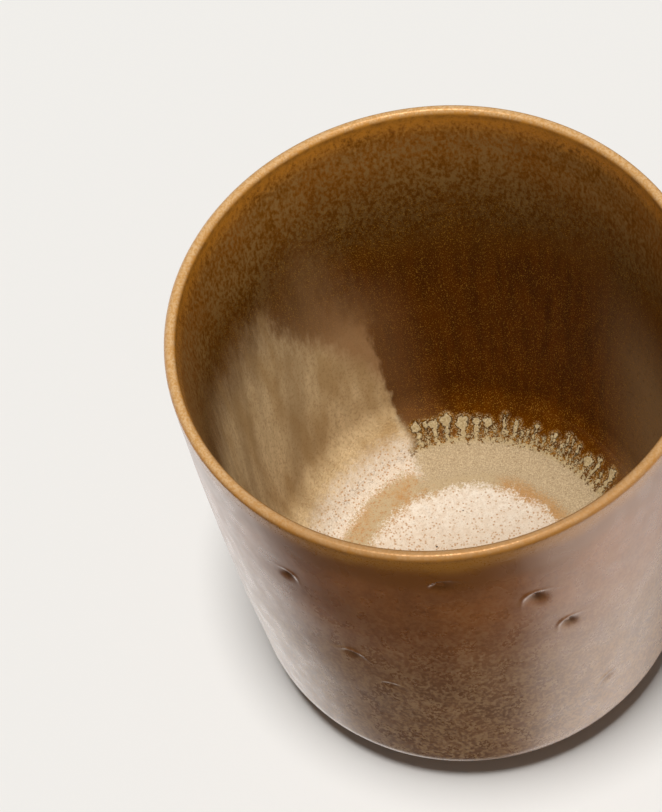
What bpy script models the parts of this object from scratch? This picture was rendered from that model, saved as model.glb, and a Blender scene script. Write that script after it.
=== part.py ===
"""A handleless stoneware cup: a fired clay body and the glaze coats fused over it.

Metres, +Z up. The origin is the middle of the face that the foot ring rests on.
Every piece is turned about the Z axis. The clay body is drawn inside the glazed surface,
one coat and one small gap in, and each coat is a separate closed skin.
"""

import math

import bmesh
import bpy

# Outside of the cup
RIM_RADIUS = 0.0420
CUP_HEIGHT = 0.0832
LIP_ROUND = 0.00095
HEEL_ROUND = 0.0077
HEEL_CENTRE_RADIUS = 0.02894
HEEL_WALL_ANGLE = math.radians(6.1)
UNDERSIDE_LIFT = 0.0016

# Inside of the cup
COVE_ROUND = 0.0120
COVE_CENTRE_RADIUS = 0.0207
COVE_WALL_ANGLE = math.radians(7.0)
FLOOR_HEIGHT = 0.0055
FRINGE_ANGLE = math.radians(25.0)

# Foot ring
FOOT_OUTER_RADIUS = 0.0272
FOOT_INNER_RADIUS = 0.0234
FOOT_EDGE = 0.0004
RECESS_HEIGHT = 0.0014

# Glaze
COAT = 0.0003
POOL_DEPTH = 0.0008
GAP = 0.00025
LIP_BAND_HEIGHT = 0.0035
GLAZE_STOP_ANGLE = math.radians(84.0)

# How finely the turned pieces are faceted
TURN_STEPS = 64
WALL_STEPS = 5
ARC_STEPS = 6
LIP_STEPS = 6

MERGE_DISTANCE = 0.00001
SHARP_ANGLE = math.radians(35.0)

# Linear base colour, roughness and metallic value of each piece
FINISHES = {
    "stoneware_body": ((0.42, 0.27, 0.16, 1.0), 0.85, 0.0),
    "outside_glaze": ((0.13, 0.058, 0.026, 1.0), 0.30, 0.0),
    "lip_glaze": ((0.50, 0.24, 0.085, 1.0), 0.30, 0.0),
    "inner_wall_glaze": ((0.16, 0.085, 0.035, 1.0), 0.35, 0.0),
    "floor_glaze": ((0.70, 0.56, 0.40, 1.0), 0.45, 0.0),
}


def arc(centre, radius, start, end, steps):
    """Points on a circle in the (r, z) plane. Angles run from the outward direction, turning down."""
    points = []
    for step in range(steps + 1):
        angle = start + (end - start) * step / steps
        points.append((
            centre[0] + radius * math.cos(angle),
            centre[1] - radius * math.sin(angle),
        ))
    return points


def wall(top, bottom, end_angle, steps):
    """A gently bellied wall from top to bottom, leaning in by end_angle where it meets its arc."""
    drop = top[1] - bottom[1]
    belly = (bottom[0] - top[0] + math.tan(end_angle) * drop) / 4.0
    points = []
    for step in range(steps + 1):
        t = step / steps
        radius = top[0] + (bottom[0] - top[0]) * t + 4.0 * belly * t * (1.0 - t)
        points.append((radius, top[1] - drop * t))
    return points


def joined(*runs):
    """The runs one after another, without the doubled point where two of them meet."""
    points = []
    for run in runs:
        for point in run:
            if not points or math.dist(points[-1], point) > MERGE_DISTANCE:
                points.append(point)
    return points


def inset(points, start_depth, end_depth):
    """A line beside points, on the right of its direction of travel, between two depths."""
    lengths = [0.0]
    for before, after in zip(points, points[1:]):
        lengths.append(lengths[-1] + math.dist(before, after))
    moved = []
    for index, (radius, height) in enumerate(points):
        before = points[max(index - 1, 0)]
        after = points[min(index + 1, len(points) - 1)]
        run = math.dist(before, after)
        depth = start_depth + (end_depth - start_depth) * lengths[index] / lengths[-1]
        moved.append((
            radius + (after[1] - before[1]) / run * depth,
            height - (after[0] - before[0]) / run * depth,
        ))
    return moved


def lip_centre():
    return (RIM_RADIUS - LIP_ROUND, CUP_HEIGHT - LIP_ROUND)


def outer_wall():
    """The glazed outside from the lip down to where the heel starts to round."""
    heel = (HEEL_CENTRE_RADIUS, UNDERSIDE_LIFT + HEEL_ROUND)
    bottom = arc(heel, HEEL_ROUND, HEEL_WALL_ANGLE, HEEL_WALL_ANGLE, 1)[0]
    return wall((RIM_RADIUS, lip_centre()[1]), bottom, HEEL_WALL_ANGLE, WALL_STEPS)


def heel(end_angle):
    """The rounded lower edge, from the wall round towards the foot."""
    centre = (HEEL_CENTRE_RADIUS, UNDERSIDE_LIFT + HEEL_ROUND)
    return arc(centre, HEEL_ROUND, HEEL_WALL_ANGLE, end_angle, ARC_STEPS)


def inner_wall():
    """The glazed inside from the lip down to where the cove starts."""
    centre = (COVE_CENTRE_RADIUS, FLOOR_HEIGHT + COVE_ROUND)
    bottom = arc(centre, COVE_ROUND, COVE_WALL_ANGLE, COVE_WALL_ANGLE, 1)[0]
    top = (RIM_RADIUS - 2.0 * LIP_ROUND, lip_centre()[1])
    return wall(top, bottom, COVE_WALL_ANGLE, WALL_STEPS)


def cove(start_angle, end_angle, steps):
    """The rounded corner between the inner wall and the floor."""
    centre = (COVE_CENTRE_RADIUS, FLOOR_HEIGHT + COVE_ROUND)
    return arc(centre, COVE_ROUND, start_angle, end_angle, steps)


def below(points, height):
    """The part of a falling line under height, starting with a point exactly on it."""
    for index, (upper, lower) in enumerate(zip(points, points[1:])):
        if lower[1] < height:
            t = (upper[1] - height) / (upper[1] - lower[1])
            start = (upper[0] + (lower[0] - upper[0]) * t, height)
            return [start] + points[index + 1:]
    return []


def above(points, height):
    """The part of a falling line over height, ending with a point exactly on it."""
    return [point for point in points if point[1] > height] + below(points, height)[:1]


def skin(line, start_depth, end_depth):
    """A closed outline between a line and the same line set in by the coat's depth."""
    return line + inset(line, start_depth, end_depth)[::-1]


def stoneware_body():
    """The clay: wall, floor and foot ring, set in from the glazed surface on both sides."""
    depth = COAT + GAP
    outside = inset(joined(outer_wall(), heel(math.pi / 2.0)), depth, depth)
    foot = [
        (FOOT_OUTER_RADIUS, outside[-1][1]),
        (FOOT_OUTER_RADIUS, FOOT_EDGE),
        (FOOT_OUTER_RADIUS - FOOT_EDGE, 0.0),
        (FOOT_INNER_RADIUS + FOOT_EDGE, 0.0),
        (FOOT_INNER_RADIUS, FOOT_EDGE),
        (FOOT_INNER_RADIUS, RECESS_HEIGHT),
        (0.0, RECESS_HEIGHT),
    ]
    cove_line = cove(COVE_WALL_ANGLE, math.pi / 2.0, ARC_STEPS)
    inner_cove = inset(cove_line[::-1], POOL_DEPTH + GAP, depth)[::-1]
    inside = [(0.0, inner_cove[-1][1])] + inner_cove[::-1]
    inside += inset(inner_wall(), -depth, -depth)[::-1][1:]
    crown = arc(lip_centre(), LIP_ROUND - depth, -math.pi, 0.0, LIP_STEPS)
    return joined(outside, foot, inside, crown[1:-1])


def outside_glaze():
    """The brown coat, from under the lip band, over the heel, to a line just above the foot."""
    line = joined(outer_wall(), heel(GLAZE_STOP_ANGLE))
    return skin(below(line, CUP_HEIGHT - LIP_BAND_HEIGHT - GAP), COAT, COAT)


def lip_glaze():
    """The tan band where the two coats meet over the lip."""
    low = CUP_HEIGHT - LIP_BAND_HEIGHT
    up_the_inside = above(inner_wall(), low)[::-1]
    over_the_lip = arc(lip_centre(), LIP_ROUND, -math.pi, 0.0, LIP_STEPS)
    down_the_outside = above(outer_wall(), low)
    return skin(joined(up_the_inside, over_the_lip, down_the_outside), COAT, COAT)


def inner_wall_glaze():
    """The brown coat inside, from under the lip band to the crystal fringe on the cove."""
    line = joined(inner_wall(), cove(COVE_WALL_ANGLE, FRINGE_ANGLE, 2))
    line = below(line, CUP_HEIGHT - LIP_BAND_HEIGHT - GAP)
    return skin(line[::-1], COAT, COAT)


def floor_glaze():
    """The cream pool: deepest on the floor, thinning up the cove to the fringe."""
    start_angle = FRINGE_ANGLE + GAP / COVE_ROUND
    cove_line = cove(start_angle, math.pi / 2.0, ARC_STEPS)[::-1]
    top = [(0.0, FLOOR_HEIGHT)] + cove_line
    under = inset(cove_line, POOL_DEPTH, COAT)
    return top + under[::-1] + [(0.0, under[0][1])]


def material(name):
    colour, roughness, metallic = FINISHES[name]
    made = bpy.data.materials.new(name)
    made.use_nodes = True
    shader = made.node_tree.nodes["Principled BSDF"]
    shader.inputs["Base Color"].default_value = colour
    shader.inputs["Roughness"].default_value = roughness
    shader.inputs["Metallic"].default_value = metallic
    return made


def turned(name, outline):
    """Turns a closed outline in the (r, z) plane about the Z axis into one solid."""
    mesh = bpy.data.meshes.new(name)
    outline_mesh = bmesh.new()
    corners = [outline_mesh.verts.new((radius, 0.0, height)) for radius, height in outline]
    for first, second in zip(corners, corners[1:] + corners[:1]):
        on_the_axis = max(first.co.x, second.co.x) < MERGE_DISTANCE
        if not on_the_axis:
            outline_mesh.edges.new((first, second))
    outline_mesh.to_mesh(mesh)
    outline_mesh.free()

    piece = bpy.data.objects.new(name, mesh)
    bpy.context.scene.collection.objects.link(piece)
    screw = piece.modifiers.new("turn", "SCREW")
    screw.axis = "Z"
    screw.angle = 2.0 * math.pi
    screw.steps = TURN_STEPS
    screw.render_steps = TURN_STEPS
    screw.use_merge_vertices = True
    screw.merge_threshold = MERGE_DISTANCE

    view_layer = bpy.context.evaluated_depsgraph_get()
    solid = bpy.data.meshes.new_from_object(piece.evaluated_get(view_layer))
    piece.modifiers.clear()
    piece.data = solid
    bpy.data.meshes.remove(mesh)
    solid.name = name
    face_outwards(solid)
    solid.shade_smooth()
    solid.set_sharp_from_angle(angle=SHARP_ANGLE)
    solid.materials.append(material(name))
    return piece


def face_outwards(mesh):
    """Points every face out of the solid."""
    work = bmesh.new()
    work.from_mesh(mesh)
    bmesh.ops.recalc_face_normals(work, faces=work.faces)
    work.to_mesh(mesh)
    work.free()


def clear_scene():
    for thing in list(bpy.data.objects):
        bpy.data.objects.remove(thing)


def build():
    clear_scene()
    for shape in (stoneware_body, outside_glaze, lip_glaze, inner_wall_glaze, floor_glaze):
        turned(shape.__name__, shape())


build()
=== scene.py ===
import math

import bmesh
import bpy
import numpy as np
from mathutils import Matrix, Vector


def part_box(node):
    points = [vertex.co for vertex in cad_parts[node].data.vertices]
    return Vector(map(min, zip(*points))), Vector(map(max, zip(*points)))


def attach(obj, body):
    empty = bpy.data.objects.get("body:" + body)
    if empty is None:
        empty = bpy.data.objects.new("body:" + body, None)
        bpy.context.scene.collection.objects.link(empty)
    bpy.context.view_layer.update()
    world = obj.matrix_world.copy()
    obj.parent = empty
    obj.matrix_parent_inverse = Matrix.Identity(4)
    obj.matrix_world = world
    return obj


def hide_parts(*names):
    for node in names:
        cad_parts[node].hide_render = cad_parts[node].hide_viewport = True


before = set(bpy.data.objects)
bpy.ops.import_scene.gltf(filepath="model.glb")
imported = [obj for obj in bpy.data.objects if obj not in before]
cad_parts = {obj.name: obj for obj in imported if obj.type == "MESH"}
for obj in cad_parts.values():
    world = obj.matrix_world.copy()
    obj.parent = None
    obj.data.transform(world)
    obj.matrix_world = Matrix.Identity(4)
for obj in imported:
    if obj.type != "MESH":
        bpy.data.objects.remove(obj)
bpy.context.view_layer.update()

MM = 0.001

# Sizes read from the CAD nodes, in metres
RIM_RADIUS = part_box("lip_glaze")[1].x
CUP_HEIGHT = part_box("lip_glaze")[1].z
LIP_JOINT = (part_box("lip_glaze")[0].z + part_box("outside_glaze")[1].z) / 2.0
POOL_EDGE_HEIGHT = (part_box("floor_glaze")[1].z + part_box("inner_wall_glaze")[0].z) / 2.0

# Sizes of the turned profile that the boxes don't tell, in metres
LIP_ROUND = 0.95 * MM
HEEL_ROUND = 7.7 * MM
HEEL_CENTRE = (28.94 * MM, 9.3 * MM)
HEEL_WALL_ANGLE = math.radians(6.1)
GLAZE_STOP_ANGLE = math.radians(84.0)
COVE_ROUND = 12.0 * MM
COVE_CENTRE = (20.7 * MM, 17.5 * MM)
COVE_WALL_ANGLE = math.radians(7.0)
FLOOR_HEIGHT = COVE_CENTRE[1] - COVE_ROUND
FOOT_OUTER_RADIUS = 27.2 * MM
FOOT_INNER_RADIUS = 23.4 * MM
FOOT_EDGE = 0.4 * MM
RECESS_HEIGHT = 1.4 * MM
CLAY_INSET = 0.55 * MM
COAT = 0.5 * MM
POOL_DEPTH = 0.8 * MM

# Nail marks pressed into the outside. Azimuth turns from +X towards +Y, and lean is how far the
# lifted edge turns from straight above the pit towards greater azimuth, both in degrees.
# Width is half the pit's width and drop is how far it runs down. Those and the rest are in mm.
NAIL_MARKS = (
    dict(azimuth=228.2, height=66.0, width=0.95, drop=1.6, depth=0.40, ridge=0.13, lean=32),
    dict(azimuth=263.2, height=74.4, width=1.45, drop=2.0, depth=0.50, ridge=0.14, lean=-38),
    dict(azimuth=282.6, height=65.4, width=1.15, drop=2.2, depth=0.50, ridge=0.18, lean=-30),
    dict(azimuth=290.0, height=52.8, width=1.05, drop=1.8, depth=0.50, ridge=0.20, lean=-34),
    dict(azimuth=239.8, height=45.8, width=1.30, drop=1.2, depth=0.30, ridge=0.17, lean=4),
    dict(azimuth=247.6, height=37.4, width=1.20, drop=1.0, depth=0.12, ridge=0.07, lean=0),
    dict(azimuth=301.0, height=23.4, width=1.40, drop=1.2, depth=0.20, ridge=0.10, lean=-24),
    dict(azimuth=52.0, height=58.0, width=1.05, drop=1.8, depth=0.40, ridge=0.15, lean=-25),
    dict(azimuth=141.0, height=69.0, width=0.95, drop=1.5, depth=0.38, ridge=0.12, lean=28),
)

# The cream run on the inside wall: the azimuth where it ends, and by azimuth the height of its
# crest over the foot. run_edge_azimuth gives where it starts.
RUN_END_AZIMUTH = 238.0
RUN_CREST_AZIMUTHS = (104.0, 110.0, 120.0, 130.0, 138.0, 150.0, 176.0, 200.0, 222.0, 240.0)
RUN_CREST_HEIGHTS_MM = (47.0, 58.0, 65.0, 64.0, 61.0, 61.0, 63.0, 56.0, 44.0, 30.0)

SEED = 20


# ---------------------------------------------------------------- profile lines

def arc(centre, radius, start, end, steps):
    """Points on a circle in the (r, z) plane. Angles run from the outward direction, turning down."""
    angle = np.linspace(start, end, steps + 1)
    return np.stack([centre[0] + radius * np.cos(angle), centre[1] - radius * np.sin(angle)], axis=1)


def wall(top, bottom, end_angle, steps):
    """A gently bellied wall from top to bottom, leaning in by end_angle where it meets its arc."""
    drop = top[1] - bottom[1]
    belly = (bottom[0] - top[0] + math.tan(end_angle) * drop) / 4.0
    t = np.linspace(0.0, 1.0, steps + 1)
    radius = top[0] + (bottom[0] - top[0]) * t + 4.0 * belly * t * (1.0 - t)
    return np.stack([radius, top[1] - drop * t], axis=1)


def joined(*runs):
    points = np.concatenate(runs)
    step = np.linalg.norm(np.diff(points, axis=0), axis=1)
    return points[np.concatenate([[True], step > 1e-7])]


def lengths(line):
    return np.concatenate([[0.0], np.cumsum(np.linalg.norm(np.diff(line, axis=0), axis=1))])


def at(line, positions):
    """Points of a line at distances along it."""
    run = lengths(line)
    return np.stack([np.interp(positions, run, line[:, 0]), np.interp(positions, run, line[:, 1])], axis=1)


def left_of(line, positions):
    """Unit normals on the left of the direction of travel."""
    step = 0.02 * MM
    total = lengths(line)[-1]
    ahead = at(line, np.clip(positions + step, 0.0, total))
    behind = at(line, np.clip(positions - step, 0.0, total))
    way = ahead - behind
    way /= np.linalg.norm(way, axis=1)[:, None]
    return np.stack([-way[:, 1], way[:, 0]], axis=1)


def position_at_height(line, height):
    """How far along a falling line it crosses a height."""
    return float(np.interp(-height, -line[:, 1], lengths(line)))


LIP_CENTRE = (RIM_RADIUS - LIP_ROUND, CUP_HEIGHT - LIP_ROUND)
HEEL_TOP = arc(HEEL_CENTRE, HEEL_ROUND, HEEL_WALL_ANGLE, HEEL_WALL_ANGLE, 1)[0]
COVE_TOP = arc(COVE_CENTRE, COVE_ROUND, COVE_WALL_ANGLE, COVE_WALL_ANGLE, 1)[0]
OUTSIDE = joined(
    wall((RIM_RADIUS, LIP_CENTRE[1]), HEEL_TOP, HEEL_WALL_ANGLE, 400),
    arc(HEEL_CENTRE, HEEL_ROUND, HEEL_WALL_ANGLE, GLAZE_STOP_ANGLE, 120),
)
INSIDE = joined(
    wall((RIM_RADIUS - 2.0 * LIP_ROUND, LIP_CENTRE[1]), COVE_TOP, COVE_WALL_ANGLE, 400),
    arc(COVE_CENTRE, COVE_ROUND, COVE_WALL_ANGLE, math.pi / 2.0, 160),
    np.array([[0.0, FLOOR_HEIGHT]]),
)


# ---------------------------------------------------------------- relief, all in mm

def smooth_step(value, low, high):
    t = np.clip((value - low) / (high - low), 0.0, 1.0)
    return t * t * (3.0 - 2.0 * t)


def waves(azimuth, height_mm, seed, count, turns, rise_mm):
    """A smooth random field round the cup, about -1 to 1, whole waves round the turn."""
    random = np.random.default_rng(seed)
    field = np.zeros(np.broadcast(azimuth, height_mm).shape)
    for _ in range(count):
        around = random.integers(-turns, turns + 1)
        up = random.normal() * 2.0 * math.pi / rise_mm
        field = field + np.sin(around * azimuth + up * height_mm + random.uniform(0.0, 2.0 * math.pi))
    return field / math.sqrt(count / 2.0) * 0.5


def nail_mark(mark, azimuth, height_mm):
    """One mark pressed in with a fingernail: a pit with a lifted edge curling round its top."""
    off = (azimuth - math.radians(mark["azimuth"]) + math.pi) % (2.0 * math.pi) - math.pi
    across = off * 39.5
    up = height_mm - mark["height"]
    lean = math.radians(mark["lean"])
    u = across * math.cos(lean) - up * math.sin(lean)
    v = up * math.cos(lean) + across * math.sin(lean)
    width = mark["width"]
    top = 0.50 * mark["drop"]
    reach = np.where(v > 0.0, top, mark["drop"])
    pit = mark["depth"] * np.exp(-(u / width) ** 2 - (v / reach) ** 2)
    curl = v + 0.30 * u * u / width - top - 0.42
    ridge = mark["ridge"] * np.exp(-(curl / 0.46) ** 2 - (u / (1.7 * width)) ** 2)
    return ridge - pit


def nail_pits(azimuth, height_mm):
    """How deep in a nail mark's pit a point is, from 0 to 1."""
    deepest = np.zeros_like(azimuth)
    for mark in NAIL_MARKS:
        bare = dict(mark, ridge=0.0)
        deepest = np.maximum(deepest, -nail_mark(bare, azimuth, height_mm) / 0.40)
    return np.clip(deepest, 0.0, 1.0)


def outside_relief(azimuth, height_mm):
    """Throwing swells and lines and the nail marks. The glaze bead along the stop line is added in
    make_outside.
    """
    calm = smooth_step(CUP_HEIGHT / MM - height_mm, 1.0, 9.0)
    swell = -0.045 + 0.045 * waves(azimuth, height_mm, SEED, 12, 4, 26.0)
    lines = 0.0015 * np.sin(height_mm * 2.0 * math.pi / 3.1 + azimuth) * smooth_step(height_mm, 8.0, 20.0)
    relief = calm * (swell + lines)
    for mark in NAIL_MARKS:
        relief = relief + nail_mark(mark, azimuth, height_mm)
    return relief


def run_edge_azimuth(radius_mm, height_mm):
    """Azimuth in degrees of the sharp edge of the cream run, down the wall and over the floor."""
    radii_mm = (0.0, 17.0, 20.0, 24.0, 28.0, 31.7)
    on_floor = np.interp(radius_mm, radii_mm, (112.0, 112.0, 109.0, 105.5, 104.5, 106.5))
    on_wall = 106.5 + (height_mm - 12.2) * 0.125
    return np.where(height_mm > 12.2, on_wall, on_floor)


def past_edge(azimuth, radius_mm, height_mm):
    """How far round the wall a point is inside the cream run, in mm. Negative is outside it."""
    degrees = np.degrees(azimuth) % 360.0
    wander = 0.35 * waves(azimuth, height_mm, SEED + 1, 10, 3, 7.0)
    start = (degrees - run_edge_azimuth(radius_mm, height_mm)) * math.pi / 180.0 * radius_mm + wander
    end = (RUN_END_AZIMUTH - degrees) * math.pi / 180.0 * radius_mm + 2.0 * wander
    return np.minimum(start, end)


def below_crest(azimuth, height_mm):
    """How far a point is under the crest of the cream run, in mm."""
    degrees = np.degrees(azimuth) % 360.0
    crest = np.interp(degrees, RUN_CREST_AZIMUTHS, RUN_CREST_HEIGHTS_MM)
    return crest - height_mm + 1.6 * waves(azimuth, height_mm * 0.15, SEED + 2, 14, 40, 9.0)


def inside_relief(azimuth, radius_mm, height_mm):
    """Throwing swells and the thickness of the cream run."""
    calm = smooth_step(CUP_HEIGHT / MM - height_mm, 1.0, 9.0) * smooth_step(height_mm, 5.6, 16.0)
    swell = 0.05 * waves(azimuth, height_mm, SEED + 3, 12, 4, 24.0)
    lines = 0.003 * np.sin(height_mm * 2.0 * math.pi / 3.4 - azimuth)
    run = 0.16 * smooth_step(past_edge(azimuth, radius_mm, height_mm), -0.5, 0.5)
    run = run * smooth_step(below_crest(azimuth, height_mm), -2.0, 10.0) * smooth_step(height_mm, 46.0, 24.0)
    return calm * (swell + lines) + run


def crystal_fingers():
    """The fingers of crystal that climb from the pool. Places in degrees, the rest in mm."""
    random = np.random.default_rng(SEED + 4)
    fingers = []
    azimuth = 103.2
    while azimuth > -118.0:
        wide = np.interp(azimuth, (30.0, 66.0, 84.0, 103.0), (0.10, 0.20, 0.45, 0.55))
        if random.uniform() < wide:
            half_width = random.uniform(0.62, 1.15)
            tip = random.uniform(3.8, 5.4)
            neck = random.uniform(0.40, 0.70)
            head = random.uniform(0.95, 1.12)
        else:
            half_width = random.uniform(0.18, 0.42)
            tip = random.uniform(1.8, 5.5)
            neck = random.uniform(0.45, 0.85)
            head = random.uniform(0.95, 1.50)
        fingers.append(dict(
            azimuth=azimuth - math.degrees(half_width / 28.5), half_width=half_width, tip=tip, neck=neck,
            head=head, sway=random.uniform(-0.30, 0.30), phase=random.uniform(0.0, 2.0 * math.pi),
        ))
        azimuth -= math.degrees((2.0 * half_width + random.uniform(0.0, 0.85)) / 28.5)
    return fingers


def crystal_field(azimuth, climb_mm):
    """Signed distance into the crystals, about in mm, over azimuth and climb above the solid pool."""
    rag = 0.0 + 1.0 * waves(azimuth, climb_mm, SEED + 5, 26, 130, 1.6)
    field = rag - climb_mm
    for finger in crystal_fingers():
        off = (azimuth - math.radians(finger["azimuth"]) + math.pi) % (2.0 * math.pi) - math.pi
        near = np.abs(off[0] if off.ndim > 1 else off) < math.radians(6.0)
        if not near.any():
            continue
        climb = climb_mm[:, near] if off.ndim > 1 else climb_mm[near]
        x = (off[:, near] if off.ndim > 1 else off[near]) * 28.5
        width = finger["half_width"]
        radius = width * finger["head"]
        x = x - finger["sway"] * climb / 3.0 - 0.10 * np.sin(climb * 2.2 + finger["phase"])
        spread = 0.30 * np.exp(-climb / 0.7) + 0.08 * np.sin(climb * 4.3 + finger["phase"] * 3.0)
        stem = width * finger["neck"] + spread - np.abs(x)
        stem = np.minimum(stem, finger["tip"] - radius - climb)
        head = radius - np.hypot(x, (climb - (finger["tip"] - radius)) * 0.85)
        best = np.maximum(stem, head)
        if off.ndim > 1:
            field[:, near] = np.maximum(field[:, near], best)
        else:
            field[near] = np.maximum(field[near], best)
    return field


# ---------------------------------------------------------------- turned pieces

def spaced(start, end, spacing):
    """Positions from start to end whose steps follow spacing(position)."""
    fine = np.linspace(start, end, 6000)
    tally = np.concatenate([[0.0], np.cumsum(np.diff(fine) / spacing(0.5 * (fine[1:] + fine[:-1])))])
    count = max(int(math.ceil(tally[-1])), 2)
    return np.interp(np.linspace(0.0, tally[-1], count + 1), tally, fine)


def even_turn(count):
    return np.arange(count) * 2.0 * math.pi / count


class Lathe:
    """Collects rings round the Z axis and joins each to the next."""

    def __init__(self):
        self.points = []
        self.rings = []
        self.faces = []
        self.marks = {}

    def ring(self, azimuth, radius, height, **marks):
        """One ring. radius and height may be one number or one per point."""
        count = len(azimuth)
        radius = np.broadcast_to(radius, count)
        height = np.broadcast_to(height, count)
        self.rings.append((sum(len(p) for p in self.points), count))
        self.points.append(np.stack([radius * np.cos(azimuth), radius * np.sin(azimuth), height], axis=1))
        for name, value in marks.items():
            self.marks.setdefault(name, []).append((len(self.rings) - 1, np.broadcast_to(value, count)))

    def pole(self, height, **marks):
        self.ring(np.zeros(1), 0.0, height, **marks)

    def join(self, first, second):
        """Faces between two rings, which have as many points, or half, or are a pole."""
        a, na = first
        b, nb = second
        if na == nb:
            i = np.arange(na)
            j = (i + 1) % na
            self.faces += np.stack([a + i, a + j, b + j, b + i], axis=1).tolist()
        elif na == 1 or nb == 1:
            (pole, _), (start, count) = (first, second) if na == 1 else (second, first)
            i = np.arange(count)
            j = (i + 1) % count
            turn = (start + j, start + i) if na == 1 else (start + i, start + j)
            self.faces += np.stack([np.full(count, pole), turn[0], turn[1]], axis=1).tolist()
        elif na == 2 * nb:
            i = np.arange(nb)
            j = (i + 1) % nb
            mid = a + 2 * i + 1
            self.faces += np.stack([a + 2 * i, mid, b + i], axis=1).tolist()
            self.faces += np.stack([mid, b + j, b + i], axis=1).tolist()
            self.faces += np.stack([mid, a + (2 * i + 2) % na, b + j], axis=1).tolist()
        else:
            i = np.arange(na)
            j = (i + 1) % na
            mid = b + 2 * i + 1
            self.faces += np.stack([a + i, mid, b + 2 * i], axis=1).tolist()
            self.faces += np.stack([a + i, a + j, mid], axis=1).tolist()
            self.faces += np.stack([a + j, b + (2 * i + 2) % nb, mid], axis=1).tolist()

    def piece(self, name, closed, finish, *nodes):
        """The finished object, which stands for the CAD nodes and rides on the root."""
        for first, second in zip(self.rings, self.rings[1:]):
            self.join(first, second)
        if closed:
            self.join(self.rings[-1], self.rings[0])
        points = np.concatenate(self.points)
        mesh = bpy.data.meshes.new(name)
        mesh.from_pydata(points.tolist(), [], self.faces)
        work = bmesh.new()
        work.from_mesh(mesh)
        if work.calc_volume(signed=True) < 0.0:
            bmesh.ops.reverse_faces(work, faces=work.faces)
        work.to_mesh(mesh)
        work.free()
        for mark, parts in self.marks.items():
            values = np.zeros(len(points), dtype=np.float32)
            for index, part in parts:
                start, count = self.rings[index]
                values[start:start + count] = part
            mesh.attributes.new(mark, "FLOAT", "POINT").data.foreach_set("value", values)
        mesh.shade_smooth()
        mesh.set_sharp_from_angle(angle=math.radians(50.0))
        mesh.materials.append(finish)
        made = bpy.data.objects.new(name, mesh)
        bpy.context.scene.collection.objects.link(made)
        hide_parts(*nodes)
        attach(made, "root")
        return made


def raised(line, side, positions, azimuth, relief):
    """Rings of a line's surface lifted by relief(azimuth, radius, height), all in mm inside relief."""
    points = at(line, positions)
    normals = left_of(line, positions) * side
    turn, radius = np.meshgrid(azimuth, points[:, 0] / MM)
    height = np.repeat(points[:, 1:2] / MM, len(azimuth), axis=1)
    lift = relief(turn, radius, height) * MM
    rings = points[:, 0:1] + normals[:, 0:1] * lift
    heights = points[:, 1:2] + normals[:, 1:2] * lift
    return rings, heights


def back_positions(line, start, end):
    """Few positions for the hidden side of a coat: sparse on the wall, closer on the round."""
    wall_end = position_at_height(line, 17.0 * MM if line is INSIDE else 9.4 * MM)
    return spaced(start, end, lambda s: np.where(s < wall_end - 2.0 * MM, 9.0 * MM, 1.6 * MM))


def coat(name, finish, line, side, start, end, azimuth, row_spacing, relief, marks=None):
    """A closed skin on a profile line between two positions along it."""
    lathe = Lathe()
    positions = spaced(start, end, row_spacing)
    rings, heights = raised(line, side, positions, azimuth, relief)
    for row in range(len(positions)):
        values = {}
        if marks is not None:
            values = marks(azimuth, rings[row] / MM, heights[row] / MM)
        lathe.ring(azimuth, rings[row], heights[row], **values)
    hidden = back_positions(line, start, end)[::-1]
    points = at(line, hidden) - left_of(line, hidden) * side * COAT
    for radius, height in points:
        lathe.ring(azimuth, radius, height)
    return lathe.piece(name, True, finish, name.replace("_skin", ""))


# ---------------------------------------------------------------- materials

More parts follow.
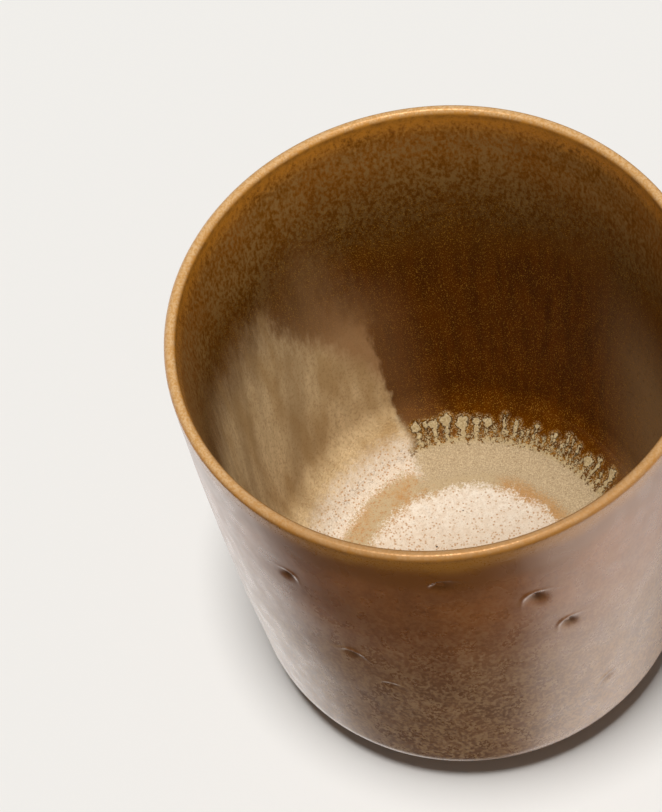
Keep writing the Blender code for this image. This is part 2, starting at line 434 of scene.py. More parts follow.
class Finish:
    """One material and short ways to add its nodes."""

    def __init__(self, name):
        self.material = bpy.data.materials.new(name)
        self.material.use_nodes = True
        self.tree = self.material.node_tree
        self.shader = self.tree.nodes["Principled BSDF"]
        coordinates = self.tree.nodes.new("ShaderNodeTexCoord")
        self.mm = self.vector("SCALE", coordinates.outputs["Object"], scale=1.0 / MM)
        split = self.tree.nodes.new("ShaderNodeSeparateXYZ")
        self.tree.links.new(self.mm, split.inputs[0])
        self.x, self.y, self.z = split.outputs

    def put(self, socket, value):
        if isinstance(value, bpy.types.NodeSocket):
            self.tree.links.new(value, socket)
        else:
            socket.default_value = value

    def vector(self, operation, first, second=None, scale=None):
        made = self.tree.nodes.new("ShaderNodeVectorMath")
        made.operation = operation
        self.put(made.inputs[0], first)
        if second is not None:
            self.put(made.inputs[1], second)
        if scale is not None:
            self.put(made.inputs["Scale"], scale)
        return made.outputs[0]

    def math(self, operation, first, second=0.0, clamp=False):
        made = self.tree.nodes.new("ShaderNodeMath")
        made.operation = operation
        made.use_clamp = clamp
        self.put(made.inputs[0], first)
        self.put(made.inputs[1], second)
        return made.outputs[0]

    def add(self, first, second):
        return self.math("ADD", first, second)

    def times(self, first, second):
        return self.math("MULTIPLY", first, second)

    def ramp(self, value, low, high, start=0.0, end=1.0):
        """Smooth step of a value between low and high, giving start to end."""
        made = self.tree.nodes.new("ShaderNodeMapRange")
        made.interpolation_type = "SMOOTHSTEP"
        for socket, given in zip(made.inputs, (value, low, high, start, end)):
            self.put(socket, given)
        return made.outputs[0]

    def mix(self, amount, first, second):
        made = self.tree.nodes.new("ShaderNodeMix")
        made.data_type = "RGBA"
        self.put(made.inputs["Factor"], amount)
        colours = [socket for socket in made.inputs if socket.type == "RGBA"]
        self.put(colours[0], first)
        self.put(colours[1], second)
        return [socket for socket in made.outputs if socket.type == "RGBA"][0]

    def stretched(self, across, along, shift=0.0):
        """Coordinates in units of a cell, across mm round the wall and along mm up it."""
        scaled = self.vector("MULTIPLY", self.mm, (1.0 / across, 1.0 / across, 1.0 / along))
        return self.vector("ADD", scaled, (shift, -shift, 2.0 * shift))

    def leaning(self, across, along, lean, shift):
        """Stretched coordinates whose long way leans towards +Y by lean mm for each mm up."""
        made = self.tree.nodes.new("ShaderNodeCombineXYZ")
        self.put(made.inputs[0], self.times(self.x, 0.4))
        self.put(made.inputs[1], self.add(self.y, self.times(self.z, -lean)))
        self.put(made.inputs[2], self.z)
        scaled = self.vector("MULTIPLY", made.outputs[0], (1.0 / across, 1.0 / across, 1.0 / along))
        return self.vector("ADD", scaled, (shift, -shift, 2.0 * shift))

    def noise(self, across, along=None, detail=2.0, roughness=0.5, lean=None, shift=0.0):
        made = self.tree.nodes.new("ShaderNodeTexNoise")
        if lean is None:
            self.put(made.inputs["Vector"], self.stretched(across, along or across, shift))
        else:
            self.put(made.inputs["Vector"], self.leaning(across, along, lean, shift))
        made.inputs["Scale"].default_value = 1.0
        made.inputs["Detail"].default_value = detail
        made.inputs["Roughness"].default_value = roughness
        return made.outputs[0]

    def cells(self, across, along=None, shift=0.0):
        """Distance to the nearest of scattered points, in units of a cell."""
        made = self.tree.nodes.new("ShaderNodeTexVoronoi")
        self.put(made.inputs["Vector"], self.stretched(across, along or across, shift))
        made.inputs["Scale"].default_value = 1.0
        return made.outputs["Distance"]

    def mark(self, name):
        made = self.tree.nodes.new("ShaderNodeAttribute")
        made.attribute_name = name
        return made.outputs["Fac"]

    def finish(self, colour, roughness, height, bump_mm, ior, tint=(1.0, 1.0, 1.0, 1.0)):
        self.put(self.shader.inputs["Base Color"], colour)
        self.put(self.shader.inputs["Roughness"], roughness)
        self.shader.inputs["Specular Tint"].default_value = tint
        self.shader.inputs["IOR"].default_value = ior
        bump = self.tree.nodes.new("ShaderNodeBump")
        bump.inputs["Strength"].default_value = 1.0
        bump.inputs["Distance"].default_value = bump_mm * MM
        self.put(bump.inputs["Height"], height)
        self.put(self.shader.inputs["Normal"], bump.outputs[0])
        return self.material


WARM_GLOSS = (0.78, 0.34, 0.06, 1.0)


def outside_colour(f):
    """Brown outside glaze: red brown above, fine khaki mottling below, amber under the lip, and painted shade
    in the nail-mark pits.
    """
    patch = f.noise(9.0, 13.0, detail=3.0, shift=3.0)
    red = f.mix(f.ramp(patch, 0.35, 0.65), (0.222, 0.072, 0.014, 1.0), (0.162, 0.053, 0.012, 1.0))
    low_brown = f.mix(f.ramp(patch, 0.35, 0.65), (0.190, 0.086, 0.035, 1.0), (0.150, 0.067, 0.028, 1.0))
    height = f.add(f.z, f.times(f.add(patch, -0.5), 26.0))
    base = f.mix(f.ramp(height, 34.0, 62.0), low_brown, red)
    fleck = f.noise(0.62, 0.86, detail=3.0, roughness=0.65, shift=7.0)
    soft = f.noise(1.9, 3.4, detail=2.0, shift=11.0)
    density = f.ramp(height, 78.0, 14.0, 0.10, 1.0)
    raised_fleck = f.add(fleck, f.times(f.add(soft, -0.5), 0.22))
    flecks = f.times(f.ramp(raised_fleck, 0.45, 0.60), density)
    base = f.mix(f.times(flecks, 0.76), base, (0.340, 0.205, 0.100, 1.0))
    dark = f.times(f.ramp(raised_fleck, 0.48, 0.34), 0.30)
    base = f.mix(dark, base, (0.080, 0.028, 0.008, 1.0))
    # Painted shade in the nail-mark pits, darkest where they are deepest, partly glaze pooled thicker there.
    base = f.mix(f.times(f.mark("pit"), 0.75), base, (0.045, 0.016, 0.005, 1.0))
    high = f.add(f.z, f.times(f.add(patch, -0.5), 5.0))
    base = f.mix(f.times(f.ramp(high, 71.0, 76.5), 0.85), base, (0.150, 0.048, 0.004, 1.0))
    base = f.mix(f.ramp(high, 77.5, 82.0), base, (0.290, 0.115, 0.010, 1.0))
    return base, fleck, flecks


def inside_colour(f):
    """Brown inside glaze: taupe blotches high on the wall, golden specks on chestnut below, and a painted
    sheen low on the +X side.
    """
    patch = f.noise(11.0, 16.0, detail=2.0, shift=5.0)
    streak = f.noise(1.6, 22.0, detail=2.0, shift=15.0)
    chestnut = f.mix(f.ramp(streak, 0.3, 0.7), (0.100, 0.026, 0.0004, 1.0), (0.068, 0.017, 0.0004, 1.0))
    middle = f.mix(f.ramp(patch, 0.35, 0.65), (0.118, 0.037, 0.0022, 1.0), (0.088, 0.028, 0.0015, 1.0))
    upper = f.mix(f.ramp(patch, 0.35, 0.65), (0.30, 0.104, 0.010, 1.0), (0.23, 0.082, 0.007, 1.0))
    height = f.add(f.z, f.times(f.add(patch, -0.5), 14.0))
    base = f.mix(f.ramp(height, 44.0, 60.0), chestnut, middle)
    base = f.mix(f.ramp(height, 60.0, 79.0), base, upper)
    # Painted sheen low on the +X side of the wall, partly the glaze's own khaki tone.
    khaki_tone_and_sheen = f.times(f.ramp(f.x, 24.0, 37.0), f.ramp(f.z, 60.0, 36.0))
    base = f.mix(f.times(khaki_tone_and_sheen, 0.85), base, (0.30, 0.185, 0.085, 1.0))
    blotch = f.noise(0.60, 1.00, detail=3.0, roughness=0.65, shift=21.0)
    spread = f.noise(3.2, 5.5, detail=2.0, shift=25.0)
    mass = f.add(blotch, f.times(f.add(spread, -0.5), 0.25))
    blotches = f.times(f.ramp(mass, 0.40, 0.64), f.ramp(height, 50.0, 70.0))
    taupe = f.mix(f.ramp(height, 58.0, 78.0), (0.190, 0.112, 0.034, 1.0), (0.33, 0.185, 0.060, 1.0))
    base = f.mix(f.times(blotches, 0.70), base, taupe)
    dark = f.times(f.ramp(mass, 0.44, 0.32), 0.35)
    base = f.mix(dark, base, (0.070, 0.020, 0.001, 1.0))
    speck = f.noise(0.17, 0.20, detail=1.0, roughness=0.5, shift=31.0)
    crowd = f.noise(2.4, 4.0, detail=1.0, shift=35.0)
    specks = f.ramp(f.add(speck, f.times(f.add(crowd, -0.5), 0.10)), 0.58, 0.70)
    specks = f.times(specks, f.ramp(height, 76.0, 58.0))
    base = f.mix(f.times(specks, 0.62), base, (0.42, 0.205, 0.026, 1.0))
    amber = f.ramp(f.add(f.z, f.times(f.add(mass, -0.5), 9.0)), 77.8, 82.3)
    base = f.mix(amber, base, (0.52, 0.200, 0.020, 1.0))
    return base, blotch, f.math("MAXIMUM", blotches, specks)


def run_colour(f, base):
    """The cream run laid over the inside colour, with hair-fine streaks, a red margin and painted reflection
    bands on its -X part.
    """
    hair = f.noise(0.60, 3.2, detail=3.0, roughness=0.6, lean=0.12, shift=41.0)
    broad = f.noise(5.0, 18.0, detail=2.0, shift=45.0)
    loose = f.ramp(f.z, 26.0, 48.0, 2.0, 7.0)
    inside = f.add(f.mark("past_edge"), f.times(f.add(hair, -0.5), loose))
    under = f.add(f.mark("below_crest"), f.times(f.add(broad, -0.5), 18.0))
    under = f.add(under, f.times(f.add(hair, -0.5), 5.0))
    soft_in = f.ramp(f.z, 30.0, 50.0, -0.45, -6.0)
    soft_out = f.ramp(f.z, 30.0, 50.0, 0.75, 9.0)
    cover = f.times(f.ramp(inside, soft_in, soft_out), f.ramp(under, -4.0, 19.0))
    khaki = f.mix(f.ramp(hair, 0.34, 0.66), (0.56, 0.395, 0.205, 1.0), (0.65, 0.465, 0.250, 1.0))
    khaki = f.mix(f.ramp(broad, 0.40, 0.68), khaki, (0.45, 0.29, 0.130, 1.0))
    reach = f.add(inside, f.times(f.add(f.z, -21.0), -0.52))
    margin = f.ramp(f.add(reach, f.times(f.add(broad, -0.5), 8.0)), 3.5, -3.5)
    khaki = f.mix(f.times(margin, 0.85), khaki, (0.34, 0.175, 0.070, 1.0))
    # Painted reflection: darker leaning bands over the -X part of the run, so the stretches between them read
    # as reflected light.
    sheen_bands = f.noise(5.0, 80.0, detail=2.0, roughness=0.55, lean=0.30, shift=47.0)
    sheen_banded = f.times(f.ramp(sheen_bands, 0.42, 0.68), f.ramp(f.x, -14.0, -26.0))
    khaki = f.mix(f.times(sheen_banded, 0.50), khaki, (0.290, 0.180, 0.078, 1.0))
    grit = f.noise(0.42, 0.70, detail=3.0, roughness=0.65, shift=49.0)
    khaki = f.mix(f.times(f.ramp(grit, 0.52, 0.36), 0.42), khaki, (0.300, 0.170, 0.070, 1.0))
    cover = f.times(cover, f.ramp(f.times(margin, f.ramp(f.z, 30.0, 46.0)), 0.0, 1.0, 1.0, 0.42))
    beside = f.times(f.ramp(f.mark("past_edge"), -11.0, 0.0), f.ramp(f.z, 52.0, 38.0))
    base = f.mix(f.times(beside, 0.40), base, (0.260, 0.130, 0.050, 1.0))
    return f.mix(cover, base, khaki), cover, hair


def outside_finish():
    f = Finish("outside_glaze_finish")
    colour, fleck, flecks = outside_colour(f)
    swell = f.noise(3.4, 5.0, detail=1.0, shift=51.0)
    height = f.add(f.times(fleck, 0.05), f.times(swell, 0.6))
    rough = f.add(f.ramp(swell, 0.3, 0.7, 0.26, 0.31), f.times(flecks, 0.04))
    return f.finish(colour, rough, height, 0.06, 1.50, WARM_GLOSS)


def inner_wall_finish():
    f = Finish("inner_wall_glaze_finish")
    colour, _, _ = inside_colour(f)
    colour, cover, hair = run_colour(f, colour)
    grain = f.noise(0.30, 0.45, detail=2.0, shift=61.0)
    height = f.add(f.times(grain, 0.25), f.times(f.noise(3.0, 5.0, detail=1.0, shift=65.0), 1.0))
    height = f.add(height, f.times(f.times(hair, cover), 0.3))
    rough = f.add(f.ramp(grain, 0.3, 0.7, 0.30, 0.38), f.times(cover, 0.22))
    return f.finish(colour, rough, height, 0.06, 1.09, WARM_GLOSS)


def lip_finish():
    """Amber over both rolls of the lip and tan where it wears thin on the crest, both darkened towards the
    front as painted shade.
    """
    f = Finish("lip_glaze_finish")
    outer, _, _ = outside_colour(f)
    inner, _, _ = inside_colour(f)
    radius = f.math("SQRT", f.add(f.times(f.x, f.x), f.times(f.y, f.y)))
    base = f.mix(f.ramp(radius, LIP_CENTRE[0] / MM - 0.3, LIP_CENTRE[0] / MM + 0.3), inner, outer)
    blot = f.noise(1.3, 1.6, detail=3.0, roughness=0.6, shift=71.0)
    fine = f.noise(0.35, 0.35, detail=2.0, shift=75.0)
    rise = f.add(f.z, f.times(f.add(blot, -0.5), 0.9))
    amber = f.mix(f.ramp(blot, 0.35, 0.65), (0.40, 0.165, 0.022, 1.0), (0.28, 0.110, 0.014, 1.0))
    # Painted shade: the amber and the crest are darkened towards the front of the lip.
    front = f.ramp(f.y, -14.0, -40.0)
    amber = f.mix(f.times(front, 0.55), amber, (0.15, 0.062, 0.012, 1.0))
    base = f.mix(f.ramp(rise, 81.2, 82.5), base, amber)
    crest = f.mix(f.ramp(fine, 0.35, 0.65), (0.52, 0.325, 0.155, 1.0), (0.42, 0.225, 0.075, 1.0))
    crest = f.mix(f.times(front, 0.65), crest, (0.27, 0.135, 0.05, 1.0))
    base = f.mix(f.ramp(rise, 82.40, 83.2), base, crest)
    height = f.add(f.times(blot, 0.8), f.times(fine, 0.25))
    return f.finish(base, f.ramp(fine, 0.3, 0.7, 0.26, 0.36), height, 0.05, 1.50, (0.84, 0.46, 0.22, 1.0))


def floor_finish():
    """The pool: cream disc, amber ring, sandy or cream outer zone, and the crystal fringe."""
    f = Finish("floor_glaze_finish")
    brown, _, _ = inside_colour(f)
    radius = f.math("SQRT", f.add(f.times(f.x, f.x), f.times(f.y, f.y)))
    wide = f.noise(6.0, detail=2.0, shift=81.0)
    medium = f.noise(1.1, detail=3.0, roughness=0.6, shift=83.0)
    grain = f.noise(0.36, detail=2.0, roughness=0.6, shift=85.0)
    sand = f.noise(0.30, detail=3.0, roughness=0.75, shift=86.0)
    loose = f.times(f.add(f.add(medium, sand), -1.0), f.ramp(radius, 28.5, 25.5, 1.6, 5.0))
    in_run = f.ramp(f.add(f.mark("past_edge"), loose), -1.2, 1.4)

    cream = f.mix(f.ramp(medium, 0.35, 0.65), (0.75, 0.660, 0.54, 1.0), (0.68, 0.560, 0.43, 1.0))
    fine = f.ramp(f.noise(0.24, detail=2.0, roughness=0.7, shift=84.0), 0.36, 0.60)
    sandy = f.mix(fine, (0.53, 0.405, 0.245, 1.0), (0.37, 0.275, 0.160, 1.0))
    front = f.times(f.ramp(f.y, 15.0, 4.0), 0.55)
    outer = f.mix(in_run, sandy, f.mix(f.ramp(radius, 23.0, 26.5, 0.0, 0.55), cream, (0.56, 0.44, 0.31, 1.0)))
    zone = f.add(radius, f.times(f.add(wide, -0.5), 3.0))
    zone = f.add(zone, f.times(f.add(medium, -0.5), 2.2))
    zone = f.add(zone, f.times(f.add(sand, -0.5), 7.0))
    blend = f.times(f.add(f.add(wide, sand), medium), 0.3333)
    tawny = f.add(blend, f.ramp(f.x, 4.0, 10.0, -0.16, 0.04))
    tawny = f.math("MAXIMUM", tawny, f.add(blend, f.ramp(f.x, -2.0, -8.0, -0.16, -0.02)))
    ring_tone = f.mix(f.ramp(tawny, 0.40, 0.58), (0.45, 0.335, 0.190, 1.0), (0.43, 0.235, 0.09, 1.0))
    ring_out = f.ramp(in_run, 0.0, 1.0, 20.2, 23.6)
    colour = f.mix(f.ramp(f.add(zone, f.times(ring_out, -1.0)), -1.0, 1.2), ring_tone, outer)
    colour = f.mix(f.ramp(zone, 16.8, 18.8), f.mix(front, cream, (0.56, 0.43, 0.30, 1.0)), colour)

    rust = f.cells(0.58, shift=87.0)
    gate = f.noise(2.4, detail=1.0, shift=89.0)
    odd = f.noise(0.90, detail=0.0, shift=88.0)
    speckled = f.math("MAXIMUM", in_run, f.ramp(radius, 19.5, 17.0))
    crowd = f.add(f.add(f.times(gate, 0.5), f.times(odd, 0.5)), f.ramp(f.y, 15.0, 5.0, 0.0, 0.10))
    crowd = f.add(crowd, f.times(in_run, f.ramp(radius, 19.0, 24.0, 0.0, 0.08)))
    rusty = f.times(f.times(f.ramp(rust, 0.40, 0.20), f.ramp(crowd, 0.42, 0.58)), speckled)
    colour = f.mix(f.times(rusty, 0.80), colour, (0.40, 0.205, 0.085, 1.0))
    dust = f.ramp(f.noise(0.26, detail=2.0, roughness=0.6, shift=90.0), 0.52, 0.68)
    dusty = f.times(dust, f.ramp(speckled, 0.0, 1.0, 0.55, 0.28))
    colour = f.mix(dusty, colour, (0.22, 0.145, 0.075, 1.0))
    pit = f.cells(2.1, shift=91.0)
    pits = f.times(f.ramp(pit, 0.100, 0.065), f.ramp(gate, 0.48, 0.53))
    pits = f.times(pits, f.ramp(radius, 17.0, 15.0))
    colour = f.mix(f.times(pits, 0.9), colour, (0.030, 0.020, 0.014, 1.0))

    up_the_run, _, _ = run_colour(f, brown)
    rim_zone = f.ramp(f.add(f.z, f.times(f.add(medium, -0.5), 3.0)), 6.8, 10.8)
    colour = f.mix(f.times(rim_zone, in_run), colour, up_the_run)

    broken = f.ramp(f.mark("climb"), 3.6, 0.4, 0.60, 2.4)
    field = f.add(f.mark("crystal"), f.times(f.times(f.add(grain, -0.5), 1.3), broken))
    field = f.add(field, f.times(f.add(f.noise(0.7, 1.1, detail=1.0, shift=93.0), -0.5), 1.1))
    crystal = f.ramp(field, 0.0, 0.16)
    amber_gap = f.mix(f.ramp(medium, 0.36, 0.62), (0.24, 0.105, 0.014, 1.0), (0.085, 0.030, 0.004, 1.0))
    near = f.ramp(f.mark("crystal"), -0.8, -0.1)
    gap = f.mix(near, up_the_run, amber_gap)
    dots = f.times(f.ramp(f.noise(0.24, detail=1.0, shift=95.0), 0.52, 0.61), near)
    gap = f.mix(f.times(dots, 0.7), gap, (0.52, 0.38, 0.20, 1.0))
    edge = f.times(crystal, f.ramp(field, 0.34, 0.12))
    finger = f.mix(f.ramp(grain, 0.35, 0.62), (0.52, 0.40, 0.22, 1.0), (0.38, 0.275, 0.135, 1.0))
    finger = f.mix(f.times(f.ramp(sand, 0.50, 0.66), 0.55), finger, (0.20, 0.130, 0.055, 1.0))
    finger = f.mix(f.times(edge, 0.35), finger, (0.66, 0.54, 0.33, 1.0))
    outline = f.times(f.ramp(field, -0.22, -0.04), f.ramp(f.mark("climb"), 0.6, 2.0))
    high = f.ramp(f.mark("climb"), -0.8, 0.5)
    colour = f.mix(f.times(high, f.ramp(in_run, 1.0, 0.0)), colour, finger)
    covered = f.math("MAXIMUM", crystal, in_run)
    gap = f.mix(f.times(outline, 0.6), gap, (0.040, 0.014, 0.002, 1.0))
    colour = f.mix(covered, gap, colour)

    height = f.add(f.times(grain, 0.9), f.times(medium, 0.8))
    height = f.add(f.times(height, covered), f.times(crystal, 0.6))
    height = f.add(height, f.times(pits, -1.2))
    rough = f.ramp(covered, 0.0, 1.0, 0.30, 0.52)
    rough = f.add(rough, f.times(f.add(grain, -0.5), 0.15))
    return f.finish(colour, rough, height, 0.15, 1.30, WARM_GLOSS)


def clay_finish():
    """Bare fired stoneware: warm tan, gritty, darker where the kiln flashed it."""
    f = Finish("stoneware_finish")
    flash = f.noise(9.0, detail=2.0, shift=101.0)
    grain = f.noise(0.35, detail=3.0, roughness=0.65, shift=103.0)
    colour = f.mix(f.ramp(flash, 0.35, 0.65), (0.40, 0.25, 0.14, 1.0), (0.30, 0.165, 0.085, 1.0))
    grit = f.ramp(f.cells(0.8, shift=105.0), 0.30, 0.16)
    colour = f.mix(f.times(grit, 0.55), colour, (0.10, 0.055, 0.03, 1.0))
    worn = f.ramp(f.z, 0.35, 0.05)
    colour = f.mix(f.times(worn, 0.35), colour, (0.46, 0.33, 0.21, 1.0))
    height = f.add(grain, f.times(grit, -0.5))
    return f.finish(colour, f.ramp(grain, 0.3, 0.7, 0.80, 0.92), height, 0.10, 1.35)


# ---------------------------------------------------------------- the pieces

def outside_columns():
    """Azimuths round the outside, closer together where a nail mark is."""
    def spacing(azimuth):
        gap = np.full_like(azimuth, 0.95)
        for mark in NAIL_MARKS:
            off = np.abs((azimuth - math.radians(mark["azimuth"]) + math.pi) % (2.0 * math.pi) - math.pi)
            gap = np.minimum(gap, 0.27 + 0.30 * np.clip(off * 39.5 - 2.4, 0.0, None))
        return gap / 39.5
    return spaced(0.0, 2.0 * math.pi, spacing)[:-1]


def outside_rows(position):
    """Row spacing down the outside, closer where a nail mark is."""
    height_mm = at(OUTSIDE, position)[:, 1] / MM
    gap = np.full_like(height_mm, 0.8)
    for mark in NAIL_MARKS:
        gap = np.minimum(gap, 0.27 + 0.25 * np.clip(np.abs(height_mm - mark["height"]) - 2.6, 0.0, None))
    return gap * MM


def make_outside():
    start = position_at_height(OUTSIDE, LIP_JOINT)
    end = lengths(OUTSIDE)[-1]

    def relief(turn, radius_mm, height_mm):
        bead = 0.10 * smooth_step(height_mm, 2.6, 1.9)
        return outside_relief(turn, height_mm) + bead

    def marks(azimuth, radius_mm, height_mm):
        return dict(pit=nail_pits(azimuth, height_mm))
    return coat("outside_glaze_skin", outside_finish(), OUTSIDE, 1.0, start, end,
                outside_columns(), outside_rows, relief, marks)


def make_inner_wall():
    start = position_at_height(INSIDE, LIP_JOINT)
    end = position_at_height(INSIDE, POOL_EDGE_HEIGHT)

    def marks(azimuth, radius_mm, height_mm):
        return dict(past_edge=past_edge(azimuth, radius_mm, height_mm),
                    below_crest=below_crest(azimuth, height_mm))
    return coat("inner_wall_glaze_skin", inner_wall_finish(), INSIDE, -1.0, start, end,
                even_turn(512), lambda s: np.full_like(s, 0.5 * MM), inside_relief, marks)


def make_lip():
    inner_end = position_at_height(INSIDE, LIP_JOINT)
    outer_end = position_at_height(OUTSIDE, LIP_JOINT)
    up_the_inside = at(INSIDE, np.linspace(inner_end, 0.0, 60))
    down_the_outside = at(OUTSIDE, np.linspace(0.0, outer_end, 60))
    line = joined(up_the_inside, arc(LIP_CENTRE, LIP_ROUND, -math.pi, 0.0, 120), down_the_outside)

    def relief(turn, radius_mm, height_mm):
        outer = outside_relief(turn, height_mm)
        inner = inside_relief(turn, radius_mm, height_mm)
        side = smooth_step(radius_mm, LIP_CENTRE[0] / MM - 0.4, LIP_CENTRE[0] / MM + 0.4)
        crest = smooth_step(height_mm, LIP_CENTRE[1] / MM - 0.6, CUP_HEIGHT / MM)
        wobble = crest * (-0.035 + 0.035 * waves(turn, radius_mm, SEED + 6, 10, 9, 8.0))
        return inner + (outer - inner) * side + np.minimum(wobble, 0.0)

    lathe = Lathe()
    azimuth = even_turn(512)
    total = lengths(line)[-1]
    positions = spaced(0.0, total, lambda s: np.full_like(s, 0.17 * MM))
    rings, heights = raised(line, 1.0, positions, azimuth, relief)
    for row in range(len(positions)):
        lathe.ring(azimuth, rings[row], heights[row])
    hidden = np.linspace(total, 0.0, 15)
    for radius, height in at(line, hidden) - left_of(line, hidden) * COAT:
        lathe.ring(azimuth, radius, height)
    return lathe.piece("lip_glaze_skin", True, lip_finish(), "lip_glaze")


def make_floor():
    """The pool from its centre out and up the cove to where the fringe ends."""
    total = lengths(INSIDE)[-1]
    edge = total - position_at_height(INSIDE, POOL_EDGE_HEIGHT)
    solid = total - position_at_height(INSIDE, 6.95 * MM)
    outward = INSIDE[::-1]

    def spacing(s):
        return np.where(s > solid - 2.2 * MM, 0.185, np.where(s > 13.5 * MM, 0.36, 0.45)) * MM

    def count(s):
        for limit, number in ((1.0, 16), (2.0, 32), (4.0, 64), (7.5, 128), (13.5, 256)):
            if s < limit * MM:
                return number
        return 1024 if s > solid - 2.0 * MM else 512

    lathe = Lathe()
    positions = spaced(0.45 * MM, edge, spacing)
    lathe.pole(FLOOR_HEIGHT, past_edge=-10.0, below_crest=40.0, crystal=5.0, climb=-20.0)
    for position in positions:
        azimuth = even_turn(count(position))
        point = at(outward, np.array([position]))[0]
        normal = left_of(outward, np.array([position]))[0]
        radius_mm = np.full_like(azimuth, point[0] / MM)
        height_mm = np.full_like(azimuth, point[1] / MM)
        climb = (position - solid) / MM
        field = np.full_like(azimuth, -climb)
        if climb > -2.0:
            field = crystal_field(azimuth, np.full_like(azimuth, climb))
        inside = past_edge(azimuth, radius_mm, height_mm)
        lift = inside_relief(azimuth, radius_mm, height_mm)
        in_run = smooth_step(inside, -0.5, 0.5)
        lift = lift + 0.11 * smooth_step(field, -0.12, 0.22) * (1.0 - in_run) * smooth_step(climb, -3.0, 0.5)
        lift = lift + 0.10 * np.exp(-((radius_mm - 18.9) / 1.5) ** 2)
        lift = lift - 0.05 * smooth_step(radius_mm, 15.0, 0.0)
        lathe.ring(
            azimuth, point[0] + normal[0] * lift * MM, point[1] + normal[1] * lift * MM,
            past_edge=inside, below_crest=below_crest(azimuth, height_mm), crystal=field, climb=climb,
        )
    under = spaced(0.0, edge, lambda s: np.full_like(s, 1.8 * MM))[::-1]
    depth = np.interp(under, (edge - 12.0 * MM, edge), (POOL_DEPTH, COAT))
    points = at(outward, under) - left_of(outward, under) * depth[:, None]
    for radius, height in points[:-1]:
        lathe.ring(even_turn(1024), radius, height)
    lathe.pole(FLOOR_HEIGHT - POOL_DEPTH)
    return lathe.piece("floor_glaze_skin", False, floor_finish(), "floor_glaze")


def make_body():
    """The clay under the coats, with its bare turned foot."""
    positions = spaced(0.0, lengths(OUTSIDE)[-1], lambda s: np.full_like(s, 2.0 * MM))
    outer = at(OUTSIDE, positions) - left_of(OUTSIDE, positions) * CLAY_INSET
    under_height = float(outer[-1][1])
    fillet = arc((FOOT_OUTER_RADIUS - FOOT_EDGE, FOOT_EDGE), FOOT_EDGE, 0.0, math.pi / 2.0, 6)
    inner_fillet = arc((FOOT_INNER_RADIUS + FOOT_EDGE, FOOT_EDGE), FOOT_EDGE, math.pi / 2.0, math.pi, 6)
    foot = joined(
        np.array([
            [FOOT_OUTER_RADIUS + 1.2 * MM, under_height],
            [FOOT_OUTER_RADIUS + 0.3 * MM, under_height],
        ]),
        arc((FOOT_OUTER_RADIUS + 0.3 * MM, under_height - 0.3 * MM), 0.3 * MM, -math.pi / 2.0, -math.pi, 4),
        fillet, inner_fillet,
        np.array([
            [FOOT_INNER_RADIUS, RECESS_HEIGHT - 0.3 * MM],
            [FOOT_INNER_RADIUS - 0.3 * MM, RECESS_HEIGHT],
        ]),
        np.array([[radius * MM, RECESS_HEIGHT] for radius in (20.0, 16.0, 12.0, 8.0, 4.0, 1.5)]),
    )
    cove_positions = spaced(0.0, lengths(INSIDE)[-1] - 20.7 * MM, lambda s: np.full_like(s, 2.0 * MM))
    depth = np.interp(cove_positions, (60.0 * MM, 82.0 * MM), (CLAY_INSET, POOL_DEPTH + 0.25 * MM))
    inner = (at(INSIDE, cove_positions) + left_of(INSIDE, cove_positions) * depth[:, None])[::-1]
    crown = arc(LIP_CENTRE, LIP_ROUND - CLAY_INSET, -math.pi, 0.0, 8)
    lathe = Lathe()
    azimuth = even_turn(256)
    lathe.pole(float(inner[0][1]))
    for radius, height in joined(inner, crown, outer):
        lathe.ring(azimuth, radius, height)
    grit = np.random.default_rng(SEED + 7)
    for radius, height in foot:
        rough = -0.03 * MM * np.abs(grit.normal(size=len(azimuth)))
        lathe.ring(azimuth, radius + rough, height - (rough if height > 0.1 * MM else 0.0))
    lathe.pole(RECESS_HEIGHT)
    return lathe.piece("stoneware_body_clay", False, clay_finish(), "stoneware_body")


# ---------------------------------------------------------------- stage, light and camera

def make_floor_stage():
    """A very large pale floor with its edge out of sight."""
    work = bmesh.new()
    bmesh.ops.create_grid(work, x_segments=8, y_segments=8, size=30.0)
    mesh = bpy.data.meshes.new("studio_floor")
    work.to_mesh(mesh)
    work.free()
    f = Finish("studio_floor_finish")
    f.shader.inputs["Base Color"].default_value = FLOOR_ALBEDO
    f.shader.inputs["Roughness"].default_value = 0.9
    f.shader.inputs["IOR"].default_value = 1.0
    mesh.materials.append(f.material)
    floor = bpy.data.objects.new("studio_floor", mesh)
    floor.visible_glossy = False
    bpy.context.scene.collection.objects.link(floor)


FLOOR_ALBEDO = (0.800, 0.785, 0.756, 1.0)
BACKDROP = (0.880, 0.863, 0.831, 1.0)
DOME_LEVEL = 0.10
KEY_LEVEL = 1.00
KEY_ANGLE = math.radians(14.0)
KEY_TILT = (-0.045, -0.090)
SIDE_LEVEL = 0.45
SIDE_ANGLE = math.radians(50.0)
SIDE_WAY = (0.40, -0.42, 0.82)


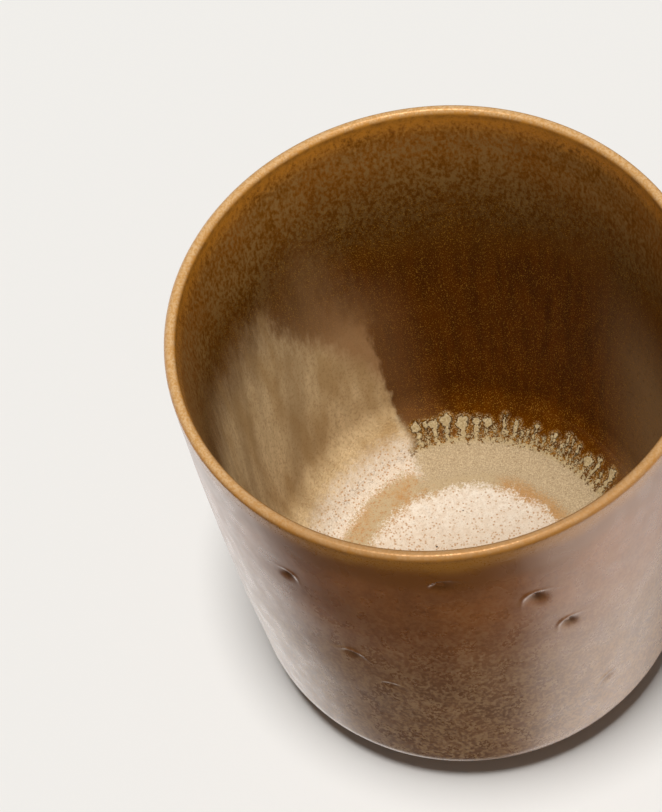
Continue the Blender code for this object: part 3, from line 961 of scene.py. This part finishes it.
def make_world():
    """The pale room: one tone to the eye, soft fill on the clay, broad panels in the gloss."""
    world = bpy.data.worlds.new("studio")
    bpy.context.scene.world = world
    world.use_nodes = True
    world.cycles.sampling_method = "NONE"
    tree = world.node_tree
    tree.nodes.clear()
    new = tree.nodes.new

    def join(source, target):
        tree.links.new(source, target)

    def calc(operation, first, second=0.0):
        made = new("ShaderNodeMath")
        made.operation = operation
        for socket, value in zip(made.inputs, (first, second)):
            if isinstance(value, bpy.types.NodeSocket):
                join(value, socket)
            else:
                socket.default_value = value
        return made.outputs[0]

    def ramp(value, low, high, start, end):
        made = new("ShaderNodeMapRange")
        made.interpolation_type = "SMOOTHSTEP"
        for socket, given in zip(made.inputs, (value, low, high, start, end)):
            if isinstance(given, bpy.types.NodeSocket):
                join(given, socket)
            else:
                socket.default_value = given
        return made.outputs[0]

    way = new("ShaderNodeTexCoord").outputs["Generated"]
    split = new("ShaderNodeSeparateXYZ")
    join(way, split.inputs[0])
    x, y, z = split.outputs
    flat = calc("MAXIMUM", calc("SQRT", calc("ADD", calc("MULTIPLY", x, x), calc("MULTIPLY", y, y))), 0.001)

    def facing(azimuth, start, full):
        """0 to 1 as a level direction turns towards an azimuth, by the cosines between them."""
        east = calc("MULTIPLY", x, math.cos(math.radians(azimuth)))
        north = calc("MULTIPLY", y, math.sin(math.radians(azimuth)))
        return ramp(calc("DIVIDE", calc("ADD", east, north), flat), start, full, 0.0, 1.0)

    low = calc("SUBTRACT", 1.0, calc("MULTIPLY", facing(235.0, 0.24, 0.54), 0.95))
    low = calc("SUBTRACT", low, calc("MULTIPLY", facing(72.0, 0.70, 0.95), 0.80))
    low = calc("ADD", low, calc("MULTIPLY", facing(342.0, 0.67, 0.98), 1.15))
    low = calc("ADD", low, calc("MULTIPLY", facing(138.0, 0.82, 0.965), 0.80))
    level = ramp(z, -0.15, 0.25, low, 0.9)

    glossy = new("ShaderNodeBackground")
    glossy.inputs["Color"].default_value = (1.0, 0.985, 0.965, 1.0)
    join(level, glossy.inputs["Strength"])
    fill = new("ShaderNodeBackground")
    fill.inputs["Color"].default_value = (1.0, 0.992, 0.978, 1.0)
    fill.inputs["Strength"].default_value = DOME_LEVEL
    seen = new("ShaderNodeBackground")
    seen.inputs["Color"].default_value = BACKDROP
    path = new("ShaderNodeLightPath")
    by_gloss = new("ShaderNodeMixShader")
    join(path.outputs["Is Glossy Ray"], by_gloss.inputs[0])
    join(fill.outputs[0], by_gloss.inputs[1])
    join(glossy.outputs[0], by_gloss.inputs[2])
    by_eye = new("ShaderNodeMixShader")
    join(path.outputs["Is Camera Ray"], by_eye.inputs[0])
    join(by_gloss.outputs[0], by_eye.inputs[1])
    join(seen.outputs[0], by_eye.inputs[2])
    output = new("ShaderNodeOutputWorld")
    join(by_eye.outputs[0], output.inputs["Surface"])


def make_key_light():
    """A soft light almost overhead, a little in front of the cup and to its left."""
    light = bpy.data.lights.new("overhead_softbox", "SUN")
    light.energy = KEY_LEVEL * math.pi
    light.angle = KEY_ANGLE
    lamp = bpy.data.objects.new("overhead_softbox", light)
    towards = Vector((KEY_TILT[0], KEY_TILT[1], 1.0)).normalized()
    lamp.matrix_world = towards.to_track_quat("Z", "Y").to_matrix().to_4x4()
    bpy.context.scene.collection.objects.link(lamp)


def make_side_light(pieces):
    """A large window-like softbox, high on the front right. It lights the cup and not the floor."""
    light = bpy.data.lights.new("side_softbox", "SUN")
    light.energy = SIDE_LEVEL * math.pi
    light.angle = SIDE_ANGLE
    lamp = bpy.data.objects.new("side_softbox", light)
    lamp.matrix_world = Vector(SIDE_WAY).normalized().to_track_quat("Z", "Y").to_matrix().to_4x4()
    bpy.context.scene.collection.objects.link(lamp)
    lit = bpy.data.collections.new("lit_from_the_side")
    for piece in pieces:
        lit.objects.link(piece)
    lamp.light_linking.receiver_collection = lit


CAMERA_DISTANCE = 0.51923
CAMERA_ELEVATION = math.radians(55.516)
CAMERA_ROLL = math.radians(8.070)
CAMERA_YAW = math.radians(-1.939)
CAMERA_PITCH = math.radians(1.170)
CAMERA_LENS = 150.74


def make_camera():
    """Looks down into the cup from the front, with the cup low and to the right in the picture."""
    lens = bpy.data.cameras.new("camera")
    lens.lens = CAMERA_LENS
    lens.sensor_width = 36.0
    lens.sensor_fit = "AUTO"
    lens.clip_start = 0.01
    lens.clip_end = 200.0
    camera = bpy.data.objects.new("camera", lens)
    bpy.context.scene.collection.objects.link(camera)
    place = Matrix.Translation((
        0.0,
        -CAMERA_DISTANCE * math.cos(CAMERA_ELEVATION),
        CUP_HEIGHT + CAMERA_DISTANCE * math.sin(CAMERA_ELEVATION),
    ))
    turn = Matrix.Rotation(math.pi / 2.0 - CAMERA_ELEVATION, 4, "X")
    turn = turn @ Matrix.Rotation(-CAMERA_YAW, 4, "Y")
    turn = turn @ Matrix.Rotation(-CAMERA_PITCH, 4, "X")
    turn = turn @ Matrix.Rotation(-CAMERA_ROLL, 4, "Z")
    camera.matrix_world = place @ turn
    bpy.context.scene.camera = camera


make_camera()
cup = [make_outside(), make_inner_wall(), make_lip(), make_floor(), make_body()]
make_floor_stage()
make_world()
make_key_light()
make_side_light(cup)

view = bpy.context.scene.view_settings
view.view_transform = "Standard"
view.look = "None"
